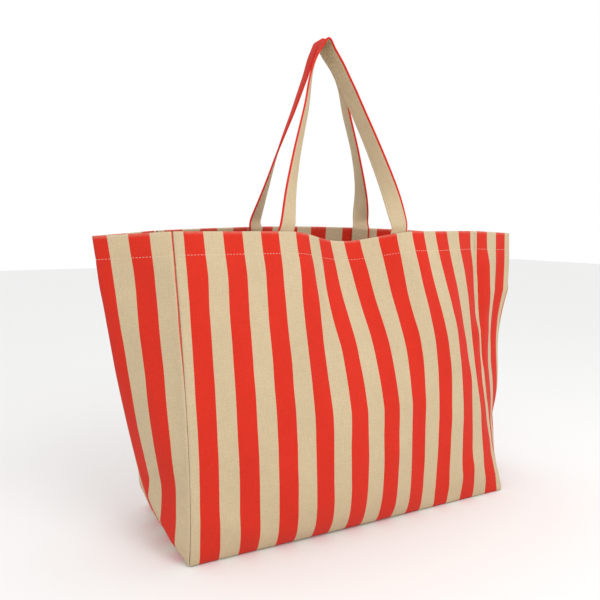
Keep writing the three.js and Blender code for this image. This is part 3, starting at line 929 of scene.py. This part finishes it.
def finish_cloth(n, colour, uv, x, y):
    """Gives cloth its uneven dye, its weave and its nap."""
    mottle = n.spread(n.noise(uv, 14, 3), 0.92, 1.08)
    streak = n.spread(n.noise(uv, 1, 2, (1100, 60, 1)), 0.88, 1.12)
    slub = n.spread(n.noise(uv, 1, 2, (70, 950, 1)), 0.90, 1.10)
    fleck = n.spread(n.noise(uv, 650, 1), 0.84, 1.16)
    value = n.math("MULTIPLY", n.math("MULTIPLY", mottle, streak), n.math("MULTIPLY", slub, fleck))
    grey = n.add("ShaderNodeCombineColor")
    for socket in grey.inputs:
        n.join(value, socket)
    tinted = n.mix(1.0, colour, grey.outputs[0], "MULTIPLY")
    n.join(tinted, n.shader.inputs["Base Color"])
    warp = n.math("SINE", n.math("MULTIPLY", x, 2 * math.pi / YARN))
    weft = n.math("SINE", n.math("MULTIPLY", y, 2 * math.pi / YARN))
    weave = n.math("MULTIPLY", warp, weft)
    height = n.math("ADD", n.math("MULTIPLY", weave, 0.5), n.math("MULTIPLY", n.noise(uv, 700, 3), 0.9))
    bump = n.add("ShaderNodeBump")
    bump.inputs["Strength"].default_value = 0.55
    bump.inputs["Distance"].default_value = 0.00014
    n.join(height, bump.inputs["Height"])
    crumple = n.add("ShaderNodeBump")
    crumple.inputs["Strength"].default_value = 0.6
    crumple.inputs["Distance"].default_value = 0.0011
    n.join(n.noise(uv, 55, 3, (1.0, 0.55, 1)), crumple.inputs["Height"])
    n.join(bump.outputs[0], crumple.inputs["Normal"])
    n.join(crumple.outputs[0], n.shader.inputs["Normal"])
    n.shader.inputs["Roughness"].default_value = 0.88
    n.shader.inputs["Sheen Weight"].default_value = 0.05
    n.shader.inputs["Sheen Roughness"].default_value = 0.5
    n.shader.inputs["Specular IOR Level"].default_value = 0.15
    return n.material


def cloth_axes(n):
    """The place on the flat cloth in metres, and its parts across and along the stripes."""
    uv = n.add("ShaderNodeUVMap", uv_map="cloth").outputs[0]
    parts = n.add("ShaderNodeSeparateXYZ")
    n.join(uv, parts.inputs[0])
    return uv, parts.outputs[0], parts.outputs[1]


def canvas_material():
    """Red and cream stripes with slightly ragged edges, with a pale painted highlight where the cloth is
    folded at the rim and along the corner seams.
    """
    n = Nodes("striped_canvas")
    uv, x, y = cloth_axes(n)
    ragged = n.math("MULTIPLY", n.math("SUBTRACT", n.noise(uv, 1, 2, (300, 900, 1)), 0.5), 0.0006)
    drift = n.math("MULTIPLY", n.math("SUBTRACT", n.noise(uv, 14, 1), 0.5), 0.0022)
    place = n.math("ADD", x, n.math("ADD", ragged, drift))
    wave = n.math("SINE", n.math("MULTIPLY", place, math.pi / (STRIPE * MM)))
    edge = n.add("ShaderNodeMapRange", interpolation_type="SMOOTHSTEP")
    edge.inputs["From Min"].default_value = -0.035
    edge.inputs["From Max"].default_value = 0.035
    n.join(wave, edge.inputs["Value"])
    striped = n.mix(edge.outputs[0], RED, CREAM)
    # Painted highlight: the per-point band along the rim fold and corner seams is mixed towards a pale
    # colour.
    worn = n.add("ShaderNodeAttribute", attribute_name="worn").outputs["Fac"]
    painted_highlight_share = n.math("MULTIPLY", worn, n.spread(n.noise(uv, 160, 3), 0.0, 0.28))
    colour = n.mix(painted_highlight_share, striped, PAINTED_HIGHLIGHT_COLOUR)
    return finish_cloth(n, colour, uv, x, y)


def plain_cloth(name, colour):
    n = Nodes(name)
    uv, x, y = cloth_axes(n)
    return finish_cloth(n, colour, uv, x, y)


def thread_material(name, colour):
    n = Nodes(name)
    position = n.add("ShaderNodeNewGeometry").outputs["Position"]
    shade = n.mix(n.noise(position, 900, 2), tuple(0.86 * c for c in colour), colour)
    n.join(shade, n.shader.inputs["Base Color"])
    n.shader.inputs["Roughness"].default_value = 0.62
    n.shader.inputs["Sheen Weight"].default_value = 0.15
    return n.material


# ---------- Assembly ----------

LEAST_RUN = 4  # points of a tack's row on one stripe, below which it has no stitch there


def add_tacks(handle, side, centre, thread, red_thread):
    """The stitching that holds a strap's end, in thread that matches the stripe it is on."""
    us = spaced(centre - TACK_HALF, centre + TACK_HALF, 1.0)
    on_red = np.sin(math.pi / STRIPE * handle.panel.stripe_at(us, np.ones_like(us))) < 0
    runs = [("cream", us[~on_red], thread), ("red", us[on_red], red_thread)]
    runs.sort(key=lambda run: -len(run[1]))
    for tone, run, material in runs:
        if len(run) < LEAST_RUN:
            continue
        lines = [wall_line(handle.panel, run, drop) for drop in TACK_DROPS]
        tack = add_stitches(f"{handle.name}_{side}_{tone}_tack_stitches", lines, 2.4, 0.6, 0.5, 0.3)
        give(tack, material)
        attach(tack, "bag")
        if tone == runs[0][0]:
            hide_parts(f"{handle.name}_{side}_tack")


def build():
    canvas = canvas_material()
    cream = plain_cloth("strap_cream", CREAM)
    red = plain_cloth("strap_red", RED)
    tape = plain_cloth("cotton_tape", TAPE_CREAM)
    thread = thread_material("cream_thread", THREAD)
    red_thread = thread_material("red_thread", RED_THREAD)

    bottom = add_bottom()
    give(bottom, canvas)
    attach(bottom, "bag")
    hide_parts("bottom_panel")

    for panel in PANELS:
        side = panel.name.replace("_panel", "")
        cloth = add_panel(panel)
        give(cloth, canvas)
        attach(cloth, "bag")
        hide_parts(panel.name, side + "_hem")
        us = spaced(2.0, panel.width - 2.0, 1.5)
        line = wall_line(panel, us, STITCH_DROP)
        rows = add_stitches(side + "_hem_stitches", [line], 3.1, 1.0, 0.62, 0.34)
        give(rows, thread)
        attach(rows, "bag")
        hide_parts(side + "_hem_stitch")

    handles = (
        Handle("front_handle", FRONT, "front_loop", FRONT_HANDLE),
        Handle("back_handle", BACK, "back_loop", BACK_HANDLE),
    )
    for handle in handles:
        strap = add_strap(handle, cream, red)
        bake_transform(strap)
        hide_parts(handle.name, handle.name + "_left_end", handle.name + "_right_end")
        for tone, towards_red, material in (("cream", False, thread), ("red", True, red_thread)):
            lines = strap_stitch_lines(handle, towards_red)
            seam = add_stitches(f"{handle.name}_{tone}_stitches", lines, 2.6, 0.9, 0.5, 0.3)
            give(seam, material)
            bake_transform(seam)
        for side, centre in zip(("left", "right"), handle.centres):
            add_tacks(handle, side, centre, thread, red_thread)

    corners = {
        "front_left": (FRONT, 0, LEFT, BASE_D),
        "front_right": (FRONT, BASE_W, RIGHT, 0),
        "back_left": (BACK, BASE_W, LEFT, 0),
        "back_right": (BACK, 0, RIGHT, BASE_D),
    }
    edges = {
        "front": (-ALONG_Y * BASE_D / 2, ALONG_X, BASE_W),
        "back": (ALONG_Y * BASE_D / 2, ALONG_X, BASE_W),
        "left_end": (-ALONG_X * BASE_W / 2, ALONG_Y, BASE_D),
        "right_end": (ALONG_X * BASE_W / 2, ALONG_Y, BASE_D),
    }
    tapes = {}
    for seed, (name, (panel, u, other, other_u)) in enumerate(corners.items()):
        node = name + "_seam_binding"
        tapes[node] = add_corner_tape(name + "_seam_tape", panel, u, other, other_u, 130 + seed)
    for seed, (name, (seam, along, length)) in enumerate(edges.items()):
        tapes[name + "_base_binding"] = add_base_tape(name + "_base_tape", seam, along, length, 140 + seed)
    for node, piece in tapes.items():
        give(piece, tape)
        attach(piece, "bag")
        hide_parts(node)


build()

# ---------- Studio, in metres ----------

FLOOR_HALF = 6.0
KEY_PLACE = (0.1, -1.15, 1.15)
KEY_TARGET = (0, 0, 0.4)
KEY_SIZE = 0.9
KEY_POWER = 7.6  # watts
CAMERA_FROM_CENTRE = (-0.442, -0.783, 0.401)
CAMERA_YAW, CAMERA_PITCH = math.radians(26.5), math.radians(6.47)
CAMERA_LENS = 37.1  # millimetres, on a sensor 36 mm wide


def add_floor():
    mesh = bpy.data.meshes.new("studio_floor")
    signs = ((-1, -1), (1, -1), (1, 1), (-1, 1))
    mesh.from_pydata([(x * FLOOR_HALF, y * FLOOR_HALF, 0) for x, y in signs], [], [(0, 1, 2, 3)])
    floor = bpy.data.objects.new("studio_floor", mesh)
    bpy.context.scene.collection.objects.link(floor)
    n = Nodes("pale_floor")
    n.shader.inputs["Base Color"].default_value = (0.86, 0.86, 0.855, 1)
    n.shader.inputs["Roughness"].default_value = 0.9
    n.shader.inputs["Specular IOR Level"].default_value = 0.1
    mesh.materials.append(n.material)


def add_light(name, place, target, size, power):
    data = bpy.data.lights.new(name, "AREA")
    data.shape = "DISK"
    data.size = size
    data.energy = power
    light = bpy.data.objects.new(name, data)
    light.location = place
    light.rotation_euler = (Vector(target) - Vector(place)).to_track_quat("-Z", "Y").to_euler()
    bpy.context.scene.collection.objects.link(light)


def set_world():
    world = bpy.data.worlds.new("studio")
    world.use_nodes = True
    world.node_tree.nodes["Background"].inputs["Color"].default_value = (1, 1, 1, 1)
    world.node_tree.nodes["Background"].inputs["Strength"].default_value = 1.0
    bpy.context.scene.world = world


def add_camera():
    yaw, pitch = CAMERA_YAW, CAMERA_PITCH
    data = bpy.data.cameras.new("camera")
    data.sensor_width = 36
    data.lens = CAMERA_LENS
    camera = bpy.data.objects.new("camera", data)
    camera.location = CENTRE + CAMERA_FROM_CENTRE
    forward = Vector((math.sin(yaw) * math.cos(pitch), math.cos(yaw) * math.cos(pitch), -math.sin(pitch)))
    camera.rotation_euler = forward.to_track_quat("-Z", "Y").to_euler()
    bpy.context.scene.collection.objects.link(camera)
    bpy.context.scene.camera = camera


add_floor()
set_world()
add_light("key", KEY_PLACE, KEY_TARGET, KEY_SIZE, KEY_POWER)
add_camera()
bpy.context.scene.view_settings.view_transform = "Standard"
